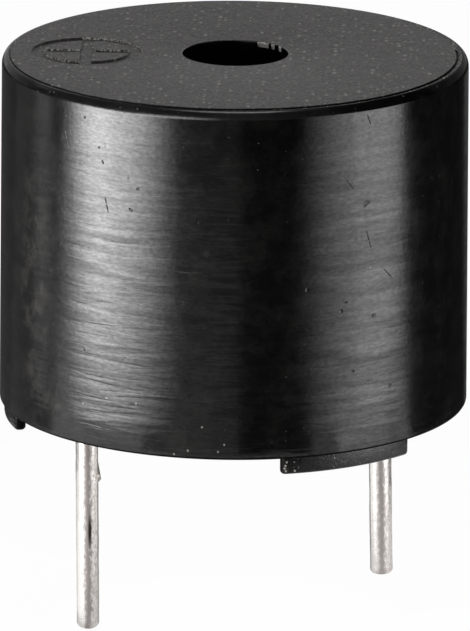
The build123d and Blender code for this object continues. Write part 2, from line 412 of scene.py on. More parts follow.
@dataclass(frozen=True)
class RubbedAbs(Finish):
    """Moulded black ABS from a polished cavity, rubbed round by its tray and handled.

    Attributes:
        wall_radius: Radius of the wall that it covers.
        line_pitch: Spacing of the rub lines up the wall.
        line_run: How far a rub line runs round the wall.
        line_depth: Height of the rub lines.
        line_sheen: How far the rub lines take the specular level either way, as a share.
        line_shares: How strong the rub lines are near the top and at the foot of the wall, as shares.
        rubbed_below: Height below which the wall is fully rubbed.
        clean_above: Height above which it is nearly clean.
        grain: Size of the fine unevenness of the skin.
        grain_depth: Height of it.
        bloom: Size of the smudges that dull the gloss.
        bloom_gloss: How far the smudges take roughness down and up.
        bloom_levels: Levels of smudging and rub lines together where the gloss is sharpest and dullest.
        film: Size of the patches in the thin film of grease, along each axis.
        film_spread: How far the film takes the specular level either way, as a share.
        dent_pitch: Mean spacing of the places where a pinprick dent may be.
        dent_radius: The largest pinprick's radius.
        dent_share: The share of places that have one.
        dent_depth: Depth of dents and scratches.
        dent_shine: Specular level left in them, as a share.
        pits: Larger dents and scratches, each at its own place.
        pit_levels: Levels of the grain where these start and where they are full.
        dust: Colour of dust and smudges.
        dust_pitch: Mean spacing of the places where dust may lie.
        dust_radius: The largest speck's radius.
        dust_share: The share of places that have one.
        dust_from: Height where dust starts to lie thicker, and the one below which it is at its thickest.
        dust_high: How thick it lies above that, as a share.
        haze: Share of the film of dust at its thickest.
        haze_levels: Levels of the smudging where that film starts and where it is thickest.
        smears: Pale smudges.
        smear_levels: Levels of the smudging where these start and where they are full.
        smear_share: Share of dust in a smudge at its thickest.
        grains: Single grains of dust.
        painted_end_specular: Specular level at the left and at the right, as shares of that in between, which paints
            shade or sheen onto an end, or nothing if it is even.
        painted_left_span: Where across the can the left end's level is full, and where it stops.
        painted_right_span: Where across the can the right end's level starts, and where it is full.
    """

    wall_radius: float = 6.0 * MM
    line_pitch: float = 0.2 * MM
    line_run: float = 1.8 * MM
    line_depth: float = 0.017 * MM
    line_sheen: float = 0.27
    line_shares: tuple[float, float] = (0.25, 0.4)
    rubbed_below: float = 7.2 * MM
    clean_above: float = 9.0 * MM
    grain: float = 0.12 * MM
    grain_depth: float = 0.002 * MM
    bloom: float = 0.7 * MM
    bloom_gloss: tuple[float, float] = (0.05, 0.08)
    bloom_levels: tuple[float, float] = (0.55, 1.3)
    film: tuple[float, float, float] = (0.14 * MM, 0.14 * MM, 0.05 * MM)
    film_spread: float = 0.26
    dent_pitch: float = 0.38 * MM
    dent_radius: float = 0.022 * MM
    dent_share: float = 0.2
    dent_depth: float = 0.012 * MM
    dent_shine: float = 0.6
    pits: tuple[Mark, ...] = ()
    pit_levels: tuple[float, float] = (0.35, 0.6)
    dust: str = "#807d78"
    dust_pitch: float = 0.5 * MM
    dust_radius: float = 0.032 * MM
    dust_share: float = 0.3
    dust_from: tuple[float, float] = (1.8 * MM, 0.6 * MM)
    dust_high: float = 0.35
    haze: float = 0.024
    haze_levels: tuple[float, float] = (0.45, 0.7)
    smears: tuple[Mark, ...] = ()
    smear_levels: tuple[float, float] = (0.46, 0.64)
    smear_share: float = 0.1
    grains: tuple[Mark, ...] = ()
    painted_end_specular: tuple[float, float] | None = None
    painted_left_span: tuple[float, float] = (-5.0 * MM, -3.5 * MM)
    painted_right_span: tuple[float, float] = (1.0 * MM, 3.5 * MM)

    def unroll(self, tree: bpy.types.NodeTree, place: bpy.types.NodeSocket) -> bpy.types.NodeSocket:
        """Adds the nodes that lay the wall out flat, from the front round to the back.

        Args:
            tree: The material's node tree.
            place: Object coordinates.

        Returns:
            A socket with the way round the wall, in metres, and the height.
        """
        axes = add(tree, "SeparateXYZ", {"Vector": place}).node.outputs
        front = add(tree, "Math", {0: axes["Y"], 1: -1.0}, operation="MULTIPLY")
        angle = add(tree, "Math", {0: axes["X"], 1: front}, operation="ARCTAN2")
        way = add(tree, "Math", {0: angle, 1: self.wall_radius}, operation="MULTIPLY")
        return add(tree, "CombineXYZ", {"X": way, "Y": axes["Z"]})

    def pattern(self, tree: bpy.types.NodeTree, shader: bpy.types.Node) -> None:
        """Adds rub lines, skin grain, smudges, dents, dust and wear.

        Args:
            tree: The material's node tree.
            shader: Its surface shader.
        """
        place = add(tree, "TexCoord", out="Object")
        axes = add(tree, "SeparateXYZ", {"Vector": place}).node.outputs
        skin = self.unroll(tree, place)
        low_down = add(tree, "MapRange", {"Value": axes["Z"], "From Min": self.dust_from[0],
                                          "From Max": self.dust_from[1]})
        # How worn each place is by the rub lines
        rubbed = add(tree, "MapRange", {"Value": axes["Z"], "From Min": self.clean_above,
                                        "From Max": self.rubbed_below, "To Min": self.line_shares[0]})
        faded = add(tree, "MapRange", {"Value": low_down, "To Min": 1.0, "To Max": self.line_shares[1]})
        reach = add(tree, "Math", {0: rubbed, 1: faded}, operation="MULTIPLY")
        drawn = add(tree, "Mapping", {"Vector": place, "Scale": (1 / self.line_run, 1 / self.line_run,
                                                                 1 / self.line_pitch)})
        lines = add(tree, "TexNoise", {"Vector": drawn, "Scale": 1.0, "Detail": 2.0, "Roughness": 0.5,
                                       "Distortion": 0.4})
        worn = add(tree, "Math", {0: lines, 1: reach}, operation="MULTIPLY")
        # Height: lines, then grain, then dents
        grain = add(tree, "TexNoise", {"Vector": place, "Scale": 1 / self.grain, "Detail": 2.0})
        dents = show_specks(tree, skin, self.dent_pitch, self.dent_radius, self.dent_share)
        if self.pits:
            ragged = add(tree, "MapRange", {"Value": grain, "From Min": self.pit_levels[0],
                                            "From Max": self.pit_levels[1]})
            pits = add(tree, "Math", {0: show_marks(tree, skin, self.pits), 1: ragged}, operation="MULTIPLY")
            dents = add(tree, "Math", {0: pits, 1: dents}, operation="MAXIMUM")
        line_bump = add(tree, "Bump", {"Height": worn, "Strength": 1.0, "Distance": self.line_depth})
        skin_bump = add(tree, "Bump", {"Height": grain, "Strength": 1.0, "Distance": self.grain_depth,
                                       "Normal": line_bump})
        dent_bump = add(tree, "Bump", {"Height": dents, "Strength": 1.0, "Distance": self.dent_depth,
                                       "Normal": skin_bump}, invert=True)
        tree.links.new(dent_bump, shader.inputs["Normal"])
        # Colour: specks, haze, single grains and smudges, whichever is palest
        bloom = add(tree, "TexNoise", {"Vector": place, "Scale": 1 / self.bloom, "Detail": 6.0, "Roughness": 0.7})
        specks = show_specks(tree, skin, self.dust_pitch, self.dust_radius, self.dust_share)
        settled = add(tree, "MapRange", {"Value": low_down, "To Min": self.dust_high})
        dust = add(tree, "Math", {0: specks, 1: settled}, operation="MULTIPLY")
        soils = [add(tree, "MapRange", {"Value": bloom, "From Min": self.haze_levels[0],
                                        "From Max": self.haze_levels[1], "To Max": self.haze})]
        if self.grains:
            soils.append(show_marks(tree, skin, self.grains))
        if self.smears:
            patchy = add(tree, "MapRange", {"Value": bloom, "From Min": self.smear_levels[0],
                                            "From Max": self.smear_levels[1], "To Max": self.smear_share})
            soils.append(add(tree, "Math", {0: show_marks(tree, skin, self.smears), 1: patchy}, operation="MULTIPLY"))
        for soil in soils:
            dust = add(tree, "Math", {0: dust, 1: soil}, operation="MAXIMUM")
        self.paint(tree, shader, [(dust, self.dust)])
        # Gloss: rougher in the smudges and lines
        sharper, duller = self.bloom_gloss
        dulled = add(tree, "Math", {0: bloom, 1: worn}, operation="ADD")
        gloss = add(tree, "MapRange", {"Value": dulled, "From Min": self.bloom_levels[0],
                                       "From Max": self.bloom_levels[1], "To Min": self.roughness - sharper,
                                       "To Max": self.roughness + duller})
        tree.links.new(gloss, shader.inputs["Roughness"])
        # Specular level: patchy with grease, weaker in lines and dents, and set at each end as painted shade or
        # painted sheen
        patches = add(tree, "Mapping", {"Vector": place, "Scale": [1 / size for size in self.film]})
        greasy = add(tree, "TexNoise", {"Vector": patches, "Scale": 1.0, "Detail": 3.0, "Roughness": 0.6})
        shine = add(tree, "MapRange", {"Value": greasy, "From Min": NOISE_LOW, "From Max": NOISE_HIGH,
                                       "To Min": self.specular * (1 - self.film_spread),
                                       "To Max": self.specular * (1 + self.film_spread)})
        sheen = add(tree, "MapRange", {"Value": lines, "From Min": NOISE_LOW, "From Max": NOISE_HIGH,
                                       "To Min": self.line_sheen, "To Max": -self.line_sheen})
        shares = [add(tree, "Math", {0: sheen, 1: reach, 2: 1.0}, operation="MULTIPLY_ADD"),
                  add(tree, "MapRange", {"Value": dents, "To Min": 1.0, "To Max": self.dent_shine})]
        # Each end's specular level is painted shade or painted sheen, set by how far across the can it lies
        if self.painted_end_specular:
            left = add(tree, "MapRange", {"Value": axes["X"], "From Min": self.painted_left_span[0],
                                          "From Max": self.painted_left_span[1], "To Min": self.painted_end_specular[0]})
            shares.append(add(tree, "MapRange", {"Value": axes["X"], "From Min": self.painted_right_span[0],
                                                 "From Max": self.painted_right_span[1], "To Min": left,
                                                 "To Max": self.painted_end_specular[1]}))
        for share in shares:
            shine = add(tree, "Math", {0: shine, 1: share}, operation="MULTIPLY")
        tree.links.new(shine, shader.inputs["Specular IOR Level"])


@dataclass(frozen=True)
class SparkAbs(Finish):
    """Moulded black ABS from a spark-eroded cavity, which gives a fine matt grit with pale dust caught in it.

    Attributes:
        grit_shade: Colour of the tips of the grit.
        tips: Heights in the grit where the tips start and where they are full.
        grit: Size of the grit along each axis.
        grit_depth: Height of the grit.
        mottle_shade: Colour of the faint mottling.
        mottle: Size of the mottling.
        mottle_levels: Levels of it where its colour starts and where it is full.
        dust: Colour of the specks of dust.
        dust_pitch: Mean spacing of the specks.
        dust_radius: The largest speck's radius across the top.
        dust_stretch: How many times as long a speck is along the top.
        dust_share: The share of places that have a speck.
        grains: Single grains of dust.
        grain_share: How pale these are, as a share.
        scuffs: Pale scuffs.
        scuff_share: How pale these are, as a share.
    """

    grit_shade: str = "#565452"
    tips: tuple[float, float] = (0.4, 0.72)
    grit: tuple[float, float, float] = (0.08 * MM, 0.2 * MM, 0.08 * MM)
    grit_depth: float = 0.06 * MM
    mottle_shade: str = "#362a2b"
    mottle: float = 0.5 * MM
    mottle_levels: tuple[float, float] = (0.4, 0.65)
    dust: str = "#b0ada8"
    dust_pitch: float = 0.16 * MM
    dust_radius: float = 0.075 * MM
    dust_stretch: float = 2.0
    dust_share: float = 0.45
    grains: tuple[Mark, ...] = ()
    grain_share: float = 0.5
    scuffs: tuple[Mark, ...] = ()
    scuff_share: float = 0.1

    def pattern(self, tree: bpy.types.NodeTree, shader: bpy.types.Node) -> None:
        """Adds grit, mottling, scuffs and dust.

        Args:
            tree: The material's node tree.
            shader: Its surface shader.
        """
        place = add(tree, "TexCoord", out="Object")
        drawn = add(tree, "Mapping", {"Vector": place, "Scale": [1 / size for size in self.grit]})
        grit = add(tree, "TexNoise", {"Vector": drawn, "Scale": 1.0, "Detail": 3.0, "Roughness": 0.65})
        tips = add(tree, "MapRange", {"Value": grit, "From Min": self.tips[0], "From Max": self.tips[1]})
        mottle = add(tree, "TexNoise", {"Vector": place, "Scale": 1 / self.mottle, "Detail": 4.0})
        patch = add(tree, "MapRange", {"Value": mottle, "From Min": self.mottle_levels[0],
                                       "From Max": self.mottle_levels[1]})
        long = add(tree, "Mapping", {"Vector": place, "Scale": (1.0, 1 / self.dust_stretch, 1.0)})
        dust = show_specks(tree, long, self.dust_pitch, self.dust_radius, self.dust_share)
        for marks, share in ((self.grains, self.grain_share), (self.scuffs, self.scuff_share)):
            if marks:
                pale = add(tree, "Math", {0: show_marks(tree, place, marks), 1: share}, operation="MULTIPLY")
                dust = add(tree, "Math", {0: dust, 1: pale}, operation="MAXIMUM")
        self.paint(tree, shader, [(patch, self.mottle_shade), (tips, self.grit_shade), (dust, self.dust)])
        bump = add(tree, "Bump", {"Height": grit, "Strength": 1.0, "Distance": self.grit_depth})
        tree.links.new(bump, shader.inputs["Normal"])


@dataclass(frozen=True)
class DippedTin(Finish):
    """Tin that a wire was dipped in: bright, with fine speckle that thins out on the -X side as a painted highlight,
    with painted shade on its sides and drip, and with a painted dark reflection in a rougher streak down the front.

    Attributes:
        axis: Where the wire's axis stands.
        lean: Degrees that the axis leans, towards +X at its lower end.
        pivot: Height of the point that it leans about.
        speckle_shade: Colour of the speckle.
        speckle: Size of the speckle across and along the wire.
        speckle_levels: Levels of it where its colour starts and where it is full.
        depth: Height of the speckle.
        lit_side_speckle_share: Share of the speckle that is left on the -X side, where the left light falls, so that
            side reads as a clean painted highlight.
        lit_side_reach: How far across the wire that share grows to the whole, from its middle either way, in radii.
        dark_reflection_shade: Colour of the streak, a painted dark reflection of the front, and of the drip, which is
            painted shade.
        streak: Where the streak lies across the wire, and half its width.
        streak_edge: Where the streak ends and where it is full, in half widths.
        streak_gloss: How many times as rough the streak is.
        painted_edge_shade: Colour of the sides, a painted shade at the wire's edges.
        side_from: Where the painted shade on the sides starts and where it is full, in radii.
        drip_from: Where the drip's painted shade starts and where it is full, in radii.
        radius: The wire's radius.
        slits: Dark slits where the tin didn't take.
        slit_shade: Their colour.
    """

    axis: float = 0.0
    lean: float = 0.0
    pivot: float = 0.0
    speckle_shade: str = "#d9cdc6"
    speckle: tuple[float, float, float] = (0.06 * MM, 0.06 * MM, 0.12 * MM)
    speckle_levels: tuple[float, float] = (0.4, 0.65)
    depth: float = 0.005 * MM
    lit_side_speckle_share: float = 0.15
    lit_side_reach: float = 0.3
    dark_reflection_shade: str = "#aca5a2"
    streak: tuple[float, float] = (0.02 * MM, 0.115 * MM)
    streak_edge: tuple[float, float] = (1.1, 0.4)
    streak_gloss: float = 1.4
    painted_edge_shade: str = "#a9a19c"
    side_from: tuple[float, float] = (0.8, 0.97)
    drip_from: tuple[float, float] = (1.02, 1.1)
    radius: float = 0.3 * MM
    slits: tuple[Mark, ...] = ()
    slit_shade: str = "#3a302b"

    def pattern(self, tree: bpy.types.NodeTree, shader: bpy.types.Node) -> None:
        """Adds the speckle, thinned where it is painted highlight, the streak as a painted dark reflection, painted
        shade on the sides and the drip, and any slits.

        Args:
            tree: The material's node tree.
            shader: Its surface shader.
        """
        place = add(tree, "TexCoord", out="Object")
        axes = add(tree, "SeparateXYZ", {"Vector": place}).node.outputs
        slope = math.tan(math.radians(self.lean))
        upright = add(tree, "Math", {0: axes["Z"], 1: slope, 2: axes["X"]}, operation="MULTIPLY_ADD")
        across = add(tree, "Math", {0: upright, 1: self.axis + self.pivot * slope}, operation="SUBTRACT")
        out = add(tree, "Math", {0: across}, operation="ABSOLUTE")
        fine = add(tree, "Mapping", {"Vector": place, "Scale": [1 / size for size in self.speckle]})
        speckle = add(tree, "TexNoise", {"Vector": fine, "Scale": 1.0, "Detail": 3.0, "Roughness": 0.6})
        # Speckle thinned on the -X side, where the left light falls, so that the tin there reads as a clean painted
        # highlight
        spread = add(tree, "MapRange", {"Value": across, "From Min": -self.lit_side_reach * self.radius,
                                        "From Max": self.lit_side_reach * self.radius, "To Min": self.lit_side_speckle_share})
        spots = add(tree, "MapRange", {"Value": speckle, "From Min": self.speckle_levels[0],
                                       "From Max": self.speckle_levels[1], "To Max": spread})
        middle, reach = self.streak
        wander = add(tree, "MapRange", {"Value": speckle, "From Min": NOISE_LOW, "From Max": NOISE_HIGH,
                                        "To Min": middle - reach / 2, "To Max": middle + reach / 2})
        aside = add(tree, "Math", {0: across, 1: wander}, operation="SUBTRACT")
        away = add(tree, "Math", {0: aside}, operation="ABSOLUTE")
        # The streak is a painted dark reflection of the front and is also rougher; the sides and the drip get painted
        # shade
        dull, side, drip = (
            add(tree, "MapRange", {"Value": value, "From Min": start * size, "From Max": end * size})
            for value, size, (start, end) in ((away, reach, self.streak_edge), (out, self.radius, self.side_from),
                                              (across, self.radius, self.drip_from)))
        layers = [(spots, self.speckle_shade), (dull, self.dark_reflection_shade), (side, self.painted_edge_shade),
                  (drip, self.dark_reflection_shade)]
        if self.slits:
            skin = add(tree, "CombineXYZ", {"X": across, "Y": axes["Z"]})
            layers.append((show_marks(tree, skin, self.slits), self.slit_shade))
        self.paint(tree, shader, layers)
        bump = add(tree, "Bump", {"Height": speckle, "Strength": 1.0, "Distance": self.depth})
        gloss = add(tree, "MapRange", {"Value": dull, "To Min": self.roughness,
                                       "To Max": self.roughness * self.streak_gloss})
        tree.links.new(gloss, shader.inputs["Roughness"])
        tree.links.new(bump, shader.inputs["Normal"])


def on_wall(angle: float, height: float) -> tuple[float, float]:
    """Gives a place on the can's wall, laid out flat.

    Args:
        angle: Degrees round from the front, towards +X.
        height: Height in metres.

    Returns:
        The way round the wall and the height, in metres.
    """
    return math.radians(angle) * RubbedAbs.wall_radius, height


# Dents and scratches in the wall, where the lights show them up: angle, height, half width, half height and lean
WALL_PITS = tuple(Mark(on_wall(angle, up * MM), (wide * MM, high * MM), lean) for angle, up, wide, high, lean in (
    (-37.7, 8.96, 0.035, 0.035, 0), (-33.3, 8.26, 0.035, 0.03, 0), (-31.6, 8.34, 0.035, 0.07, -15),
    (-32.3, 7.92, 0.03, 0.1, 30), (-31.0, 6.82, 0.025, 0.24, 14), (-24.8, 7.6, 0.045, 0.09, 10),
    (-22.3, 7.34, 0.07, 0.035, 20), (-24.2, 6.78, 0.09, 0.035, -25), (-43.4, 8.3, 0.02, 0.26, 22),
    (-37.6, 2.95, 0.035, 0.08, 35), (34.9, 6.87, 0.17, 0.07, 32), (35.7, 9.03, 0.018, 0.17, 22),
    (35.8, 5.96, 0.018, 0.34, 17), (29.9, 7.49, 0.018, 0.25, 40), (37.5, 3.91, 0.1, 0.08, 0),
    (31.5, 2.57, 0.06, 0.05, 0), (42.9, 1.99, 0.06, 0.07, 0), (19.4, 4.82, 0.06, 0.06, 0),
    (41.6, 4.98, 0.018, 0.28, 45), (28.2, 4.18, 0.06, 0.06, 0), (29.5, 4.39, 0.07, 0.03, 0)))
# Smudges, and the pale lines of two long scratches on the right
WALL_SMEARS = tuple(Mark(on_wall(angle, up * MM), (wide * MM, high * MM), lean) for angle, up, wide, high, lean in (
    (-49.1, 6.91, 0.2, 0.17, 0), (-4.8, 5.76, 0.25, 0.1, -20), (35.5, 5.28, 0.8, 0.03, 10),
    (33.5, 3.59, 0.5, 0.03, 7), (-49.5, 4.9, 0.15, 0.7, 0), (-48.0, 1.35, 0.75, 0.45, -12),
    (-56.0, 4.2, 0.9, 4.6, 0)))
# Grains of dust, most of them low on the wall
WALL_GRAINS = tuple(Mark(on_wall(angle, height * MM), (0.034 * MM, 0.034 * MM)) for angle, height in (
    (-37.7, 1.53), (-30.7, 1.8), (-22.6, 1.77), (-6.0, 1.3), (-9.4, 0.67), (-2.1, 0.67), (-12.8, 0.56), (-0.6, 0.86),
    (36.4, 5.2)))
# Faint scuffs beside the polarity mark
TOP_SCUFFS = (
    Mark((-2.79 * MM, -2.62 * MM), (0.35 * MM, 0.08 * MM), 8),
    Mark((-2.38 * MM, -0.3 * MM), (0.06 * MM, 0.35 * MM), -8),
)
# Grains of dust round the polarity mark and the port
TOP_GRAINS = tuple(Mark((across * MM, along * MM), (0.045 * MM, 0.09 * MM)) for across, along in (
    (-4.7, -0.88), (-4.2, -2.9), (-3.79, -2.09), (-3.04, -0.79), (-2.77, 0.87), (-2.63, 0.74), (-3.65, 0.59),
    (-3.59, -0.45), (-3.57, -0.91), (-3.46, -1.21), (-3.9, -0.13), (-4.56, 1.58), (0.08, -2.42), (1.15, -0.91),
    (-1.27, -3.21), (0.65, -1.82), (4.32, 2.2), (3.9, -2.1)))
# ABS from a polished cavity: near black, with a satin sheen that smears each light into a soft upright band
CASE_SIDE = RubbedAbs("moulded_abs_rubbed_side", "#0a0a0a", 0.18, ior=1.53, pits=WALL_PITS, smears=WALL_SMEARS,
                      grains=WALL_GRAINS)
# The rounded edge of the top: glossy at the front; at the left and right sides its specular level is cut nearly to
# nothing, a painted shade that makes it read as a black line
CASE_EDGE = RubbedAbs("moulded_abs_edge_painted_dark_ends", "#080808", 0.25, ior=1.53, line_depth=0.004 * MM, dust="#b5b2ac",
                      dust_pitch=0.16 * MM, haze=0.012, painted_end_specular=(0.05, 0.008))
# The brim where the two halves of the mould met: torn, in pale dots
CASE_BRIM = SparkAbs("torn_abs_brim", "#1c1b1a", 0.6, ior=1.53, specular=0.3, grit_shade="#d8d5cf",
                     tips=(0.54, 0.68), mottle_shade="#343230", grit=(0.11 * MM, 0.11 * MM, 0.11 * MM),
                     grit_depth=0.02 * MM)
# The feet's own faces: the same plastic, grainier where the cutter left it, with a specular level raised towards +X as
# a painted sheen
CASE_FOOT = RubbedAbs("moulded_abs_foot", "#0a0a0a", 0.22, ior=1.53, specular=0.2, painted_end_specular=(1.0, 2.5),
                      line_depth=0.004 * MM, grain=0.045 * MM,
                      grain_depth=0.01 * MM, haze=0.01, dust="#a5a29c", dust_pitch=0.11 * MM,
                      smears=(Mark(on_wall(14.6, 0.14 * MM), (0.1 * MM, 0.16 * MM)),
                              Mark(on_wall(34.0, 0.28 * MM), (0.2 * MM, 0.1 * MM))),
                      grains=tuple(Mark(on_wall(angle, up * MM), (0.035 * MM, 0.035 * MM)) for angle, up in (
                          (14.6, 0.1), (14.3, 0.17), (14.5, 0.24), (14.8, 0.33), (16.9, 0.09))))
# ABS from a spark-eroded cavity: the grit catches light from behind and reads as dark grey
CASE_TOP = SparkAbs("moulded_abs_spark_textured", "#080b0a", 0.55, ior=1.53, specular=0.43, grains=TOP_GRAINS,
                    scuffs=TOP_SCUFFS)
# The cut edges of the polarity mark that face the left light: torn plastic in pale dots where it stands up, put on
# these walls only as a painted highlight
CASE_TORN_AND_LIT = SparkAbs("torn_abs_edge_painted_lit", "#353433", 0.6, ior=1.53, grit_shade="#f0eee8", tips=(0.44, 0.58),
                     mottle_shade="#3c3a38", grit=(0.06 * MM, 0.06 * MM, 0.06 * MM), grit_depth=0.02 * MM)
# Flecks pulled from the port's edge: the plastic whitens where it was stretched
CASE_FLECK = Grained("stretched_abs_fleck", "#f4f2ee", 0.5, ior=1.53, shade="#d5d2cc",
                     grain=(0.09 * MM, 0.09 * MM, 0.09 * MM), depth=0.01 * MM)
# The same ABS made near black and dead matt, with almost no specular: painted shade inside the cavity, on the rim, in
# the groove round the textured face and on the feet's ends, so that they read as black
CASE_PAINTED_SHADE = Grained("abs_painted_shade", "#020202", 0.6, ior=1.53, specular=0.05, shade="#040404",
                      grain=(0.3 * MM, 0.3 * MM, 1.5 * MM), depth=0.004 * MM)
# Tinned copper lead wire: thin and bright
WIRE_TIN = Grained("tinned_copper_wire", "#d2cdc6", 0.25, metallic=1.0, shade="#b3aaa0",
                   grain=(0.1 * MM, 0.4 * MM, 0.4 * MM), depth=0.004 * MM)
# Soft solder: bright tin with a faint orange-peel skin
SOLDER = Grained("flowed_soft_solder", "#d5d5d3", 0.22, metallic=1.0, shade="#a9a9a6",
                 grain=(0.15 * MM, 0.15 * MM, 0.15 * MM), depth=0.01 * MM, gloss_spread=0.08)
# Rolled brass sheet: warm yellow with fine rolling lines across it
BRASS = Grained("rolled_brass", "#c9a24e", 0.3, metallic=1.0, shade="#b08a3c",
                grain=(3.0 * MM, 0.06 * MM, 3.0 * MM), depth=0.003 * MM, gloss_spread=0.06)
# Screen-printed silver on fired ceramic: pale, dull and slightly granular
SILVERED = Grained("silvered_piezo_ceramic", "#d6d3cc", 0.42, shade="#bfbab0",
                   grain=(0.12 * MM, 0.12 * MM, 0.12 * MM), depth=0.006 * MM)
# Cured silicone: milky and soft-edged
SILICONE = Grained("cured_silicone", "#e6e5df", 0.5, ior=1.41, shade="#d3d1c8",
                   grain=(0.6 * MM, 0.6 * MM, 0.6 * MM), depth=0.01 * MM)
# Green solder mask on glass-epoxy laminate: glossy, with the weave just showing
MASK = Grained("green_solder_mask", "#1f5a33", 0.32, shade="#27683c",
               grain=(0.35 * MM, 0.35 * MM, 0.35 * MM), depth=0.004 * MM)
# Transfer-moulded black epoxy: matt and faintly grey
EPOXY = Grained("moulded_black_epoxy", "#1b1b1c", 0.55, shade="#252526",
                grain=(0.08 * MM, 0.08 * MM, 0.08 * MM), depth=0.004 * MM)
# Poured black epoxy: glossy and level, with slow ripples from curing
RESIN = Grained("poured_black_epoxy", "#0f0f10", 0.2, ior=1.55, shade="#161617",
                grain=(1.6 * MM, 1.6 * MM, 1.6 * MM), depth=0.03 * MM, gloss_spread=0.06)
# Glazed chip resistor: a dark glass coat on white alumina
CHIP = Grained("glazed_chip_resistor", "#1c1c20", 0.3, shade="#26262b",
               grain=(0.2 * MM, 0.2 * MM, 0.2 * MM), depth=0.004 * MM)


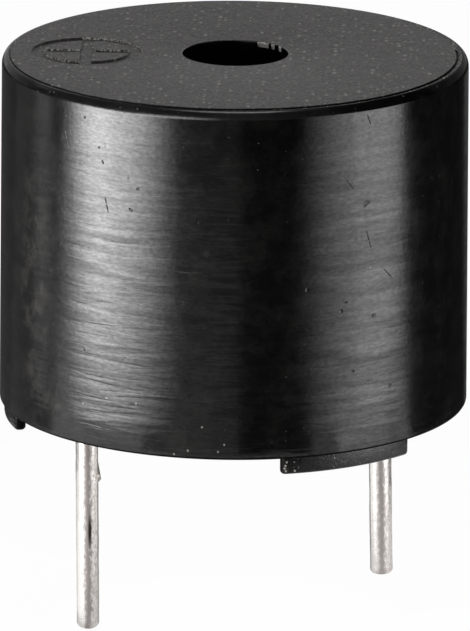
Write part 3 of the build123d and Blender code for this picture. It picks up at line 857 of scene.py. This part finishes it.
@dataclass
class Case:
    """The moulded can, with its sound port, stepped bore, feet and polarity mark.

    Attributes:
        steps: Vertices round the can.
        wall_rings: Heights of the rings in the wall, as shares of it.
        edge_steps: Steps in the rounding of a small edge.
        top_edge_steps: Steps in the rounding of the top's outer edge.
        sharp_angle: Edges sharper than this are shaded sharp, in degrees.
        draft: Draft of the outer wall in degrees.
        foot_height: How far the feet stand down from the rim.
        foot_inner_radius: Where the feet start, out from the axis.
        foot_outer_radius: Where they end.
        foot_span: Degrees round the rim that each foot takes.
        foot_angles: Where the feet's middles are, in degrees from +X.
        foot_edge: Rounding of the feet's lower edges.
        foot_corner: Rounding of their upright corners.
        foot_bends: Edges of the feet bent by more than this are rounded, in degrees: the upright and the lower ones.
        foot_steps: Steps in these two roundings.
        rim_edge: Rounding of the rim's outer edge.
        top_edge: Rounding of the top's outer edge, inwards and down.
        side_finish_share: Share of that rounding's height, from the wall up, that keeps the wall's finish.
        brim_width: Width of the torn brim inside that rounding.
        groove_width: Width of the groove between the brim and the textured face.
        groove_depth: Its depth below the brim.
        face_rise: How far the textured face stands up from the brim.
        face_edge: Bevel of the textured face's edge.
        brim_shift: How far the brim's inner edge is off centre, because the two halves of the mould don't quite meet.
        face_shift: How far the textured face is.
        port_radius: The sound port's radius.
        port_edge: Rounding of the port's edge.
        top_thickness: Thickness of the top.
        ledge_width: Width of the step that carries the disc.
        plate_clearance: Room round the disc.
        fleck_height: How far flecks of torn plastic reach down the port's wall.
        fleck_reach: Half the width of the edge that one is pulled from.
        burrs: Where flecks of torn plastic hang into the port, in degrees from +X, and how far, in millimetres.
        mark_centre: Where the middle of the polarity mark is.
        mark_outer_radius: Outer radius of its ring.
        mark_inner_radius: Inner radius of its ring.
        mark_stroke: Width of the plus's strokes.
        mark_depth: How deep it is cut.
        mark_draft: How far its walls slope in.
        mark_steps: Vertices round its ring.
    """

    steps: int = 240
    wall_rings: tuple[float, ...] = (0.1, 0.25, 0.5, 0.75, 0.9)
    edge_steps: int = 4
    top_edge_steps: int = 14
    sharp_angle: float = 25.0
    draft: float = 0.35
    foot_height: float = 0.45 * MM
    foot_inner_radius: float = 5.58 * MM
    foot_outer_radius: float = 5.88 * MM
    foot_span: float = 37.5
    foot_angles: tuple[float, ...] = (182.25, 62.25, -57.75)
    foot_edge: float = 0.09 * MM
    foot_corner: float = 0.12 * MM
    foot_bends: tuple[float, float] = (60.0, 45.0)
    foot_steps: tuple[int, int] = (4, 3)
    rim_edge: float = 0.06 * MM
    top_edge: tuple[float, float] = (0.17 * MM, 0.25 * MM)
    side_finish_share: float = 0.25
    brim_width: float = 0.06 * MM
    groove_width: float = 0.04 * MM
    groove_depth: float = 0.03 * MM
    face_rise: float = 0.04 * MM
    face_edge: float = 0.01 * MM
    brim_shift: tuple[float, float] = (-0.03 * MM, -0.04 * MM)
    face_shift: tuple[float, float] = (-0.05 * MM, -0.065 * MM)
    port_radius: float = 1.35 * MM
    port_edge: float = 0.02 * MM
    top_thickness: float = 0.9 * MM
    ledge_width: float = 0.6 * MM
    plate_clearance: float = 0.1 * MM
    fleck_height: float = 0.12 * MM
    fleck_reach: float = 0.045 * MM
    burrs: tuple[tuple[float, float], ...] = ((34, 0.03), (46, 0.06), (55, 0.08), (58, 0.05), (60, 0.07), (63, 0.11))
    mark_centre: tuple[float, float] = (-3.78 * MM, 0.0)
    mark_outer_radius: float = 1.42 * MM
    mark_inner_radius: float = 1.09 * MM
    mark_stroke: float = 0.33 * MM
    mark_depth: float = 0.05 * MM
    mark_draft: float = 0.02 * MM
    mark_steps: int = 96
    piece: bpy.types.Object | None = field(default=None, init=False)

    def build(self) -> bpy.types.Object:
        """Turns the can, draws out its feet and cuts the mark.

        Returns:
            The finished can.
        """
        self.piece = turn("moulded_can", self.profile(), self.steps, closed=True)
        self.draw_feet()
        self.shift_face()
        self.tear_port()
        self.cut_mark()
        smooth(self.piece, self.sharp_angle)
        self.dress()
        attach(self.piece, ROOT)
        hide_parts("case")
        return self.piece

    def profile(self) -> list[tuple[float, float]]:
        """Gives the can's whole section, from the rim up the wall, in over the top, down the port and out to the rim.

        Returns:
            Radius and height of each ring.
        """
        low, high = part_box("case")
        outer, rim, top = high.x, low.z + self.foot_height, high.z
        slope = math.tan(math.radians(self.draft))
        brim = top - self.face_rise
        round_in, round_down = self.top_edge
        shoulder = brim - round_down
        edge = self.edge_radius()
        wall = [(outer - share * (shoulder - rim) * slope, rim + share * (shoulder - rim))
                for share in self.wall_rings]
        groove = edge - self.brim_width
        face = groove - self.groove_width
        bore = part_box("sealing_resin")[1].x
        board_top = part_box("circuit_board")[1].z
        disc_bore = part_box("brass_plate")[1].x + self.plate_clearance
        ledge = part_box("bond_ring")[1].z
        chamber = disc_bore - self.ledge_width
        ceiling = top - self.top_thickness
        return [
            *arc((outer - self.rim_edge, rim + self.rim_edge), self.rim_edge, -90, 0, self.edge_steps),
            *wall,
            *((radius, shoulder + up * round_down / round_in)
              for radius, up in arc((edge, 0.0), round_in, 0, 90, self.top_edge_steps)),
            (groove, brim),
            (groove, brim - self.groove_depth),
            (face, brim - self.groove_depth),
            (face, top - self.face_edge),
            (face - self.face_edge, top),
            *arc((self.port_radius + self.port_edge, top - self.port_edge), self.port_edge, 90, 180, self.edge_steps),
            (self.port_radius, top - self.port_edge - self.fleck_height),
            (self.port_radius, ceiling),
            (chamber, ceiling),
            (chamber, ledge),
            (disc_bore, ledge),
            (disc_bore, board_top),
            (bore, board_top),
            (bore, rim),
            (self.foot_inner_radius, rim),
            (self.foot_outer_radius, rim),
        ]

    def edge_radius(self) -> float:
        """Works out where the rounding of the top's edge ends.

        Returns:
            Its radius there.
        """
        low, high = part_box("case")
        wall_height = high.z - self.face_rise - self.top_edge[1] - low.z - self.foot_height
        return high.x - wall_height * math.tan(math.radians(self.draft)) - self.top_edge[0]

    def shift_face(self) -> None:
        """Moves the brim's inner edge and the textured face off centre."""
        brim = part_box("case")[1].z - self.face_rise
        groove = self.edge_radius() - self.brim_width
        face = groove - self.groove_width
        start_edit(self.piece)
        for radius, shift in ((groove, self.brim_shift), (face - self.face_edge / 2, self.face_shift)):
            pick(self.piece, Element.VERTEX, lambda vertex: abs(vertex.co.xy.length - radius) < self.face_edge
                 and vertex.co.z > brim - 2 * self.groove_depth)
            bpy.ops.transform.translate(value=(*shift, 0))
        end_edit()

    def draw_feet(self) -> None:
        """Extrudes the feet down from the rim and rounds their corners and lower edges."""
        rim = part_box("case")[0].z + self.foot_height
        middle = (self.foot_inner_radius + self.foot_outer_radius) / 2
        reach = (self.foot_outer_radius - self.foot_inner_radius) / 2

        def under_foot(face: bmesh.types.BMFace) -> bool:
            """Says whether a face of the rim is where a foot stands.

            Args:
                face: The face.

            Returns:
                True if it is.
            """
            place = face.calc_center_median()
            off_middle = abs(math.hypot(place.x, place.y) - middle)
            angle = math.degrees(math.atan2(place.y, place.x))
            turned = min(abs((angle - foot + 180) % 360 - 180) for foot in self.foot_angles)
            return abs(place.z - rim) < NEAR and off_middle < reach / 2 and turned < self.foot_span / 2

        start_edit(self.piece)
        pick(self.piece, Element.FACE, under_foot)
        bpy.ops.mesh.extrude_region_move(TRANSFORM_OT_translate={"value": (0, 0, -self.foot_height)})
        pick(self.piece, Element.EDGE, lambda edge: abs(edge.verts[0].co.z - edge.verts[1].co.z) > self.foot_height / 2
             and min(end.co.z for end in edge.verts) < rim - self.foot_height / 2
             and edge.calc_face_angle(0) > math.radians(self.foot_bends[0]))
        bpy.ops.mesh.bevel(offset=self.foot_corner, segments=self.foot_steps[0])
        pick(self.piece, Element.EDGE, lambda edge: all(abs(end.co.z + self.foot_height - rim) < NEAR
                                                        for end in edge.verts)
             and edge.calc_face_angle(0) > math.radians(self.foot_bends[1]))
        bpy.ops.mesh.bevel(offset=self.foot_edge, segments=self.foot_steps[1])
        end_edit()

    def tear_port(self) -> None:
        """Pulls flecks of torn plastic from the port's upper edge into the opening."""
        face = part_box("case")[1].z
        start_edit(self.piece)
        for angle, reach in self.burrs:
            inwards = Vector((-math.cos(math.radians(angle)), -math.sin(math.radians(angle)), 0))
            tip = -inwards * self.port_radius
            pick(self.piece, Element.VERTEX, lambda vertex: (vertex.co.xy - tip.xy).length < self.fleck_reach
                 and face - 1.5 * self.port_edge < vertex.co.z < face + self.port_edge / 4)
            bpy.ops.transform.translate(value=inwards * reach * MM)
        end_edit()

    def cut_mark(self) -> None:
        """Cuts the circled plus that marks the positive pin into the top."""
        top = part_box("case")[1].z
        floor, over = top - self.mark_depth, top + self.mark_depth
        wide = self.mark_draft * 2
        ring = turn("mark_ring", [
            (self.mark_inner_radius + self.mark_draft, floor),
            (self.mark_outer_radius - self.mark_draft, floor),
            (self.mark_outer_radius - self.mark_draft + wide, over),
            (self.mark_inner_radius + self.mark_draft - wide, over),
        ], self.mark_steps, centre=self.mark_centre, closed=True)
        cut(self.piece, ring)
        arm = self.mark_inner_radius + self.mark_draft
        taper = 2 * self.mark_draft / self.mark_stroke
        for along in (Vector((1, 0, 0)), Vector((0, 1, 0))):
            bpy.ops.object.select_all(action="DESELECT")
            bpy.ops.mesh.primitive_cube_add(size=1, location=(*self.mark_centre, top))
            bar = bpy.context.object
            across = Vector((along.y, along.x, 0))
            bar.scale = along * 2 * arm + across * self.mark_stroke + Vector((0, 0, 2 * self.mark_depth))
            bpy.ops.object.transform_apply(location=True, rotation=True, scale=True)
            start_edit(bar)
            pick(bar, Element.FACE, lambda face: face.normal.z < -0.5)
            bpy.ops.transform.resize(value=Vector((1, 1, 1)) - across * taper,
                                     center_override=(*self.mark_centre, top))
            end_edit()
            cut(self.piece, bar)

    def dress(self) -> None:
        """Gives the wall, the textured faces and the inside their finishes, some of which are painted shade or painted
        highlight.
        """
        low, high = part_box("case")
        rim = low.z + self.foot_height
        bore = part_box("sealing_resin")[1].x
        edge = self.edge_radius()
        groove = edge - self.brim_width
        face = groove - self.groove_width - self.face_edge / 4

        def off(part: bmesh.types.BMFace, centre: tuple[float, float] = (0.0, 0.0)) -> float:
            """Gives how far a face's middle is from an upright axis."""
            return (part.calc_center_median().xy - Vector(centre)).length

        def is_textured(part: bmesh.types.BMFace) -> bool:
            """Says whether a face is on the textured top or in the polarity mark."""
            on_top = part.calc_center_median().z > high.z - 2 * self.mark_depth
            return on_top and off(part) > self.port_radius * 1.01 and off(part, self.face_shift) < face

        def is_brim(part: bmesh.types.BMFace) -> bool:
            """Says whether a face is on the torn brim."""
            on_top = part.calc_center_median().z > high.z - self.mark_depth - self.face_rise
            return on_top and off(part) < edge and off(part, self.brim_shift) > groove

        def is_upper_edge(part: bmesh.types.BMFace) -> bool:
            """Says whether a face is on the upper part of the rounded edge, whose ends get painted shade."""
            shoulder = high.z - self.face_rise - (1 - self.side_finish_share) * self.top_edge[1]
            return off(part) > edge and part.calc_center_median().z > shoulder

        def is_foot(part: bmesh.types.BMFace) -> bool:
            """Says whether a face is under the rim."""
            return part.calc_center_median().z < rim - NEAR

        def is_foot_end(part: bmesh.types.BMFace) -> bool:
            """Says whether a face is on an end of a foot, which gets painted shade.

            Args:
                part: The face.

            Returns:
                True if it is.
            """
            place = part.calc_center_median()
            round_about = Vector((-place.y, place.x, 0)).normalized()
            return place.z < rim - NEAR and abs(part.normal.dot(round_about)) > 0.8

        def is_inside(part: bmesh.types.BMFace) -> bool:
            """Says whether a face is inside the can, on its rim or in the groove round the textured face, which all
            get painted shade.

            Args:
                part: The face.

            Returns:
                True if it is.
            """
            place = part.calc_center_median()
            on_rim = rim - NEAR < place.z < rim + self.rim_edge
            in_groove = (off(part, self.brim_shift) < groove and off(part, self.face_shift) > face
                         and place.z > high.z - self.face_rise - 2 * self.groove_depth)
            return on_rim or in_groove or off(part) < bore * 1.001 and rim < place.z < high.z - 2 * self.mark_depth

        def is_torn_and_lit(part: bmesh.types.BMFace) -> bool:
            """Says whether a face is on one of the polarity mark's walls that face away from +X, towards the left
            light, which get pale dots as a painted highlight on torn plastic.
            """
            near = (off(part, self.mark_centre) < self.mark_outer_radius * 1.1
                    and part.calc_center_median().z > high.z - 2 * self.mark_depth)
            return near and part.normal.z < 0.9 and part.normal.x < 0.1

        def is_fleck(part: bmesh.types.BMFace) -> bool:
            """Says whether a face is on a fleck that hangs into the port."""
            return off(part) < self.port_radius * 0.998 and part.calc_center_median().z > high.z - self.fleck_height

        # The near-black finish is painted shade: inside the can, on the rim, in the groove and on the feet's ends
        finishes = (
            (CASE_SIDE, lambda part: True), (CASE_TOP, is_textured), (CASE_PAINTED_SHADE, is_inside), (CASE_TORN_AND_LIT, is_torn_and_lit),
            (CASE_FOOT, is_foot), (CASE_FLECK, is_fleck), (CASE_EDGE, is_upper_edge), (CASE_BRIM, is_brim),
            (CASE_PAINTED_SHADE, is_foot_end),
        )
        slots = list(dict.fromkeys(finish for finish, _ in finishes))
        for finish in slots:
            self.piece.data.materials.append(finish.material())
        start_edit(self.piece)
        for finish, test in finishes:
            pick(self.piece, Element.FACE, test)
            self.piece.active_material_index = slots.index(finish)
            bpy.ops.object.material_slot_assign()
        end_edit()


@dataclass
class Pin:
    """A hot-tinned wire pin, a little bent below the seat.

    Attributes:
        node: The solid that it replaces.
        lean: Degrees that it leans over below the seat, towards +X at its lower end.
        pivot: Height of the point that it leans about.
        end_radius: Rounding of its lower end.
        dark_reflection_shade: Colour of the streak down its tin, a painted dark reflection of the front, and of its
            drip.
        slits: Slits in its tin.
        tin: Colour of its tin.
        roughness: Mean roughness of its tin.
        end_steps: Steps in the rounding of its lower end.
        drip: Lower and upper height of a drip of solder on its +X side, and how far it stands out.
        drip_span: Degrees round the pin, either way, that the drip takes.
        ring_pitch: Spacing of the rings along it.
        steps: Vertices in a ring.
        lump: Size of the lumps in the tin.
        lump_height: How far the lumps stand out.
        inner_radius: Its radius at the top, inside the can.
        sharp_angle: Edges sharper than this are shaded sharp, in degrees.
    """

    node: str
    lean: float
    pivot: float
    end_radius: float
    dark_reflection_shade: str
    slits: tuple[Mark, ...] = ()
    tin: str = "#faf7f4"
    roughness: float = 0.27
    end_steps: int = 6
    drip: tuple[float, float, float] | None = None
    drip_span: float = 24.0
    ring_pitch: float = 0.08 * MM
    steps: int = 40
    lump: float = 0.45 * MM
    lump_height: float = 0.02 * MM
    inner_radius: float = 0.25 * MM
    sharp_angle: float = 40.0

    def build(self) -> bpy.types.Object:
        """Turns the pin, lumps its tin, bends it and dresses it.

        Returns:
            The finished pin.
        """
        low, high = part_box(self.node)
        centre = ((low.x + high.x) / 2, (low.y + high.y) / 2)
        radius = (high.x - low.x) / 2 - self.lump_height / 2
        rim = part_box("case")[0].z + Case.foot_height
        start = low.z + self.lump_height + self.end_radius
        count = round((rim - start) / self.ring_pitch)
        straight = [(radius, start + (rim - start) * ring / count) for ring in range(1, count + 1)]
        rings = [*arc((radius - self.end_radius, start), self.end_radius, -90, 0, self.end_steps), *straight,
                 (self.inner_radius, high.z)]
        piece = turn(f"tinned_{self.node}", rings, self.steps, centre=centre)
        self.lump_tin(piece)
        if self.drip:
            self.pull_drip(piece, centre)
        start_edit(piece)
        pick(piece, Element.VERTEX, lambda vertex: vertex.co.z < 0)
        bpy.ops.transform.rotate(value=math.radians(self.lean), orient_axis="Y", center_override=(*centre, self.pivot))
        end_edit()
        smooth(piece, self.sharp_angle)
        finish = DippedTin(f"dipped_tin_{self.node}", self.tin, self.roughness, metallic=1.0, axis=centre[0],
                           lean=self.lean, pivot=self.pivot, dark_reflection_shade=self.dark_reflection_shade, slits=self.slits)
        piece.data.materials.append(finish.material())
        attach(piece, ROOT)
        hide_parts(self.node)
        return piece

    def pull_drip(self, piece: bpy.types.Object, centre: tuple[float, float]) -> None:
        """Pulls the tin out into a drip that ends short, ring by ring.

        Args:
            piece: The pin.
            centre: Where its axis stands.
        """
        bottom, top, reach = self.drip
        start_edit(piece)
        steps = round((top - bottom) / self.ring_pitch)
        for step in range(steps):
            height = bottom + (top - bottom) * step / steps
            pick(piece, Element.VERTEX, lambda vertex: abs(vertex.co.z - height) < self.ring_pitch / 2
                 and abs(math.atan2(vertex.co.y - centre[1], vertex.co.x - centre[0])) < math.radians(self.drip_span))
            bpy.ops.transform.translate(value=(reach * (1 - step / steps), 0, 0))
        end_edit()

    def lump_tin(self, piece: bpy.types.Object) -> None:
        """Makes the tin uneven, as it set from the dip.

        Args:
            piece: The pin.
        """
        clouds = bpy.data.textures.new(f"{self.node}_lumps", "CLOUDS")
        clouds.noise_scale = self.lump
        displace = piece.modifiers.new("lumps", "DISPLACE")
        displace.texture = clouds
        displace.texture_coords = "LOCAL"
        displace.strength = self.lump_height
        displace.mid_level = 0.5
        bpy.context.view_layer.objects.active = piece
        bpy.ops.object.modifier_apply(modifier=displace.name)


@dataclass
class Interior:
    """The disc, its wires, the drive board and the resin, which keep their solids.

    Attributes:
        finishes: The finish of each solid.
    """

    finishes: dict[str, Finish] = field(default_factory=lambda: {
        "bond_ring": SILICONE, "brass_plate": BRASS, "piezo_ceramic": SILVERED, "disc_solder": SOLDER,
        "main_wire": WIRE_TIN, "feedback_wire": WIRE_TIN, "ground_wire": WIRE_TIN, "wire_solder": SOLDER,
        "circuit_board": MASK, "drive_transistor": EPOXY, "transistor_leads": WIRE_TIN, "base_resistor": CHIP,
        "load_resistor": CHIP, "feedback_resistor": CHIP, "chip_solder": SOLDER, "pin_solder": SOLDER,
        "sealing_resin": RESIN,
    })

    def dress(self) -> list[bpy.types.Object]:
        """Puts the finishes on the solids.

        Returns:
            The dressed solids.
        """
        made = {finish.name: finish.material() for finish in self.finishes.values()}
        dressed = []
        for node, finish in self.finishes.items():
            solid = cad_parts[node]
            solid.data.materials.clear()
            solid.data.materials.append(made[finish.name])
            dressed.append(solid)
        return dressed


@dataclass(frozen=True)
class Softbox:
    """A flat softbox that faces the object from close by.

    Attributes:
        name: Its name.
        azimuth: Degrees round from the front, towards +X.
        distance: From the axis.
        lift: Its lower edge's height over the floor.
        width: Its width.
        height: Its height.
        radiance: How bright its face is, where one is white paper.
        fades: Shares of its width, from its left and its right, over which it fades in.
        foot: How bright its lower edge is, as a share, and the share of its height where it is at full.
    """

    name: str
    azimuth: float
    distance: float
    lift: float
    width: float
    height: float
    radiance: float
    fades: tuple[float, float]
    foot: tuple[float, float]


@dataclass(frozen=True)
class Card:
    """A card that lies on the floor, out of the camera's sight, and is seen in the wall's reflections.

    Attributes:
        name: Its name.
        start: First azimuth in degrees from the front, towards +X.
        end: Last azimuth.
        near: How close it comes to the axis.
        far: Where it ends.
        radiance: How bright it is, where one is white paper.
        lift: Its height over the floor.
    """

    name: str
    start: float
    end: float
    near: float
    far: float
    radiance: float
    lift: float = 0.1 * MM


@dataclass
class Studio:
    """The white floor and its sweep, the softboxes, the cards and the camera.

    Attributes:
        floor_radius: How far the floor goes.
        open_share: How far back the sweep starts, as a share of that radius.
        sweep: Radius and height above the floor of the rings in the sweep.
        floor_steps: Vertices in a ring of the floor.
        floor_sharp_angle: Edges sharper than this are shaded sharp, in degrees.
        paper_glow: Share of the paper's look, to the camera and in reflections, that is plain white.
        softboxes: The softboxes.
        cards: The cards.
        card_steps: Steps in a card's spin.
        ambient: How bright the room is, where one is white paper.
        camera_target: The point that the camera's place is worked out from.
        camera_azimuth: Degrees round from the front, towards +X.
        camera_elevation: Degrees up.
        camera_distance: From the target.
        camera_pitch: Degrees that it looks below the target.
        camera_roll: Degrees that it leans over.
        lens: Focal length in millimetres.
        sensor: Sensor width in millimetres.
        clip: Nearest and farthest that the camera sees.
    """

    floor_radius: float = 300 * MM
    open_share: float = 0.55
    sweep: tuple[tuple[float, float], ...] = ((340 * MM, 12 * MM), (370 * MM, 42 * MM), (400 * MM, 300 * MM))
    floor_steps: int = 96
    floor_sharp_angle: float = 40.0
    paper_glow: float = 0.975
    softboxes: tuple[Softbox, ...] = (
        Softbox("left_softbox", -51.9, 27 * MM, 0.0, 31.6 * MM, 16 * MM, 12.0, (0.367, 0.633), (0.4, 0.55)),
        Softbox("right_softbox", 59.5, 27 * MM, 0.0, 32 * MM, 16 * MM, 2.5, (0.5, 0.34), (0.85, 0.45)),
        Softbox("left_panel", -98, 27 * MM, 0.0, 10 * MM, 16 * MM, 0.5, (0.6, 0.35), (0.9, 0.3)),
        Softbox("front_strip", -25, 60 * MM, 11 * MM, 50 * MM, 15 * MM, 4.0, (0.15, 0.5), (1.0, 0.5)),
        Softbox("overhead_softbox", 0, 0.1 * MM, 150 * MM, 90 * MM, 90 * MM, 3.0, (0.2, 0.2), (1.0, 0.5)),
    )
    cards: tuple[Card, ...] = (
        Card("under_card", -180, 180, 0.05 * MM, 4.9 * MM, 0.6, 0.05 * MM),
        Card("near_card", -20, 110, 4.3 * MM, 18 * MM, 0.72),
        Card("near_back_card", 140, 220, 4.3 * MM, 18 * MM, 0.35),
        Card("front_card", 4, 60, 18 * MM, 300 * MM, 0.0),
        Card("front_left_card", -60, 4, 18 * MM, 45 * MM, 0.3),
        Card("front_left_back_card", -60, 4, 45 * MM, 300 * MM, 0.1),
        Card("left_card", -130, -88, 18 * MM, 300 * MM, 0.13),
        Card("left_back_card", -166, -130, 18 * MM, 300 * MM, 0.065),
        Card("right_card", 88, 152, 18 * MM, 300 * MM, 0.012),
        Card("right_back_card", 152, 172, 18 * MM, 300 * MM, 0.09),
        Card("left_glow_card", -75, -38, 18 * MM, 28 * MM, 1.2, 0.2 * MM),
        Card("right_first_glow_card", 36, 48, 18 * MM, 28 * MM, 0.55, 0.2 * MM),
        Card("right_glow_card", 48, 74, 18 * MM, 28 * MM, 2.0, 0.2 * MM),
        Card("right_last_glow_card", 74, 84, 18 * MM, 28 * MM, 1.0, 0.2 * MM),
    )
    card_steps: int = 24
    ambient: float = 0.12
    camera_target: tuple[float, float, float] = (0.037 * MM, 0.0, 4.933 * MM)
    camera_azimuth: float = 1.4
    camera_elevation: float = 15.05
    camera_distance: float = 239.2 * MM
    camera_pitch: float = 0.548
    camera_roll: float = 0.4
    lens: float = 533.3
    sensor: float = 36.0
    clip: tuple[float, float] = (10 * MM, 2000 * MM)

    def build(self) -> None:
        """Sets up floor, lights, cards, world and camera."""
        self.lay_floor()
        for softbox in self.softboxes:
            self.hang(softbox)
        for card in self.cards:
            self.lay(card)
        self.set_world()
        self.set_camera()

    def lay_floor(self) -> None:
        """Makes the pale floor, which sweeps up behind the object."""
        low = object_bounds()[0][2]
        rings = [(MM, low), (self.floor_radius, low), *((radius, low + up) for radius, up in self.sweep)]
        floor = turn("studio_bowl", rings, self.floor_steps)

        def is_open(face: bmesh.types.BMFace) -> bool:
            """Says whether a face is the lid over the sweep, or a part of the sweep that isn't at the back.

            Args:
                face: The face.

            Returns:
                True if it is.
            """
            place = face.calc_center_median()
            in_front = place.z > low + MM and place.y < self.floor_radius * self.open_share
            return in_front or place.z > low + self.sweep[-1][1] - MM

        start_edit(floor)
        pick(floor, Element.FACE, is_open)
        bpy.ops.mesh.delete(type="FACE")
        bpy.ops.mesh.select_all(action="SELECT")
        bpy.ops.mesh.normals_make_consistent(inside=True)
        end_edit()
        smooth(floor, self.floor_sharp_angle)
        floor.data.materials.append(self.floor_material())
        floor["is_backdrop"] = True

    def floor_material(self) -> bpy.types.Material:
        """Makes matt white paper that the camera sees as white, and that can be seen through from behind.

        Returns:
            The paper.
        """
        made = bpy.data.materials.new("white_paper")
        made.use_nodes = True
        tree = made.node_tree
        tree.nodes.remove(tree.nodes["Principled BSDF"])
        rays = add(tree, "LightPath").node.outputs
        mirrored = add(tree, "Math", {0: rays["Is Glossy Ray"], 1: rays["Is Transmission Ray"]}, operation="MAXIMUM")
        seen = add(tree, "Math", {0: rays["Is Camera Ray"], 1: mirrored}, operation="MAXIMUM")
        share = add(tree, "Math", {0: seen, 1: self.paper_glow}, operation="MULTIPLY")
        paper = add(tree, "BsdfDiffuse", {"Color": linear("#f2f2f2")})
        white = add(tree, "Emission", {"Color": linear("#ffffff"), "Strength": 1.0})
        front = add(tree, "MixShader", {0: share, 1: paper, 2: white})
        behind = add(tree, "BsdfTransparent")
        side = add(tree, "NewGeometry", out="Backfacing")
        both = add(tree, "MixShader", {0: side, 1: front, 2: behind})
        tree.links.new(both, tree.nodes["Material Output"].inputs["Surface"])
        return made

    def hang(self, softbox: Softbox) -> None:
        """Hangs a softbox, with its power worked out from how bright its face is.

        Args:
            softbox: The softbox.
        """
        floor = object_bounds()[0][2]
        angle = math.radians(softbox.azimuth)
        middle = Vector((math.sin(angle) * softbox.distance, -math.cos(angle) * softbox.distance,
                         floor + softbox.lift + softbox.height / 2))
        lamp = bpy.data.lights.new(softbox.name, "AREA")
        lamp.shape = "RECTANGLE"
        lamp.size, lamp.size_y = softbox.width, softbox.height
        lamp.energy = softbox.radiance * math.pi * softbox.width * softbox.height
        lamp.use_nodes = True
        tree = lamp.node_tree
        axes = add(tree, "SeparateXYZ", {"Vector": add(tree, "NewGeometry", out="Parametric")}).node.outputs
        left, right = softbox.fades
        low, full = softbox.foot
        strength = add(tree, "MapRange", {"Value": axes["Y"], "From Max": full, "To Min": low})
        for start, end in ((0.0, left), (1.0, 1 - right)):
            fade = add(tree, "MapRange", {"Value": axes["X"], "From Min": start, "From Max": end},
                       interpolation_type="SMOOTHSTEP")
            strength = add(tree, "Math", {0: strength, 1: fade}, operation="MULTIPLY")
        tree.links.new(strength, tree.nodes["Emission"].inputs["Strength"])
        hung = bpy.data.objects.new(softbox.name, lamp)
        hung.location = middle
        hung.rotation_euler = Vector((-middle.x, -middle.y, -softbox.lift)).to_track_quat("-Z", "Y").to_euler()
        hung.visible_camera = False
        bpy.context.collection.objects.link(hung)

    def lay(self, card: Card) -> None:
        """Lays a card on the floor, spun from its inner and outer end.

        Args:
            card: The card.
        """
        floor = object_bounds()[0][2] + card.lift
        first = math.radians(card.start - 90)
        outwards = Vector((math.cos(first), math.sin(first), 0))
        bpy.ops.object.select_all(action="DESELECT")
        bpy.ops.mesh.primitive_plane_add(size=1)
        sheet = bpy.context.object
        sheet.name = sheet.data.name = card.name
        start_edit(sheet)
        bpy.ops.mesh.select_mode(type=Element.VERTEX.value)
        bpy.ops.mesh.select_all(action="SELECT")
        bpy.ops.mesh.merge(type="CENTER")
        bpy.ops.transform.translate(value=outwards * card.near + Vector((0, 0, floor)))
        bpy.ops.mesh.extrude_vertices_move(TRANSFORM_OT_translate={"value": outwards * (card.far - card.near)})
        bpy.ops.mesh.select_all(action="SELECT")
        bpy.ops.mesh.spin(steps=self.card_steps, angle=math.radians(card.start - card.end), center=(0, 0, 0),
                          axis=(0, 0, 1))
        end_edit()
        board = Finish(f"{card.name}_board", "#000000", 1.0, specular=0.0).material()
        glow = board.node_tree.nodes["Principled BSDF"].inputs
        glow["Emission Color"].default_value = linear("#ffffff")
        glow["Emission Strength"].default_value = card.radiance
        sheet.data.materials.append(board)
        sheet.visible_camera = False
        sheet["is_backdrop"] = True

    def set_world(self) -> None:
        """Gives the room a dim even light, and white beyond the floor."""
        world = bpy.data.worlds.new("dim_room")
        world.use_nodes = True
        tree = world.node_tree
        seen = add(tree, "LightPath", out="Is Camera Ray")
        level = add(tree, "MapRange", {"Value": seen, "To Min": self.ambient})
        tree.nodes["Background"].inputs["Color"].default_value = linear("#ffffff")
        tree.links.new(level, tree.nodes["Background"].inputs["Strength"])
        bpy.context.scene.world = world

    def set_camera(self) -> None:
        """Places the camera at the photograph's angle."""
        azimuth, elevation = math.radians(self.camera_azimuth), math.radians(self.camera_elevation)
        back = Vector((math.sin(azimuth) * math.cos(elevation), -math.cos(azimuth) * math.cos(elevation),
                       math.sin(elevation)))
        data = bpy.data.cameras.new("camera")
        data.lens, data.sensor_width = self.lens, self.sensor
        data.clip_start, data.clip_end = self.clip
        camera = bpy.data.objects.new("camera", data)
        camera.location = Vector(self.camera_target) + back * self.camera_distance
        camera.rotation_mode = "QUATERNION"
        camera.rotation_quaternion = (
            (-back).to_track_quat("-Z", "Y")
            @ Quaternion((1, 0, 0), math.radians(-self.camera_pitch))
            @ Quaternion((0, 0, 1), math.radians(self.camera_roll))
        )
        bpy.context.collection.objects.link(camera)
        bpy.context.scene.camera = camera


def main() -> None:
    """Builds the buzzer and its studio, and reports each piece."""
    logging.basicConfig(level=logging.INFO)
    bpy.context.scene.view_settings.view_transform = "Standard"
    # Each pin's streak colour is a painted dark reflection of the front
    pieces = [
        Case().build(),
        Pin("positive_pin", lean=0.5, pivot=3.9 * MM, end_radius=0.18 * MM, dark_reflection_shade="#aca5a2",
            slits=(Mark((0.075 * MM, -3.2 * MM), (0.06 * MM, 0.56 * MM)),),
            drip=(-1.88 * MM, -1.4 * MM, 0.07 * MM)).build(),
        Pin("negative_pin", lean=1.2, pivot=-1.1 * MM, end_radius=0.12 * MM, dark_reflection_shade="#bdb6b2").build(),
        *Interior().dress(),
    ]
    for piece in pieces:
        LOG.info("%s: %d faces", piece.name, len(piece.data.polygons))
    Studio().build()


if __name__ == "__main__":
    main()
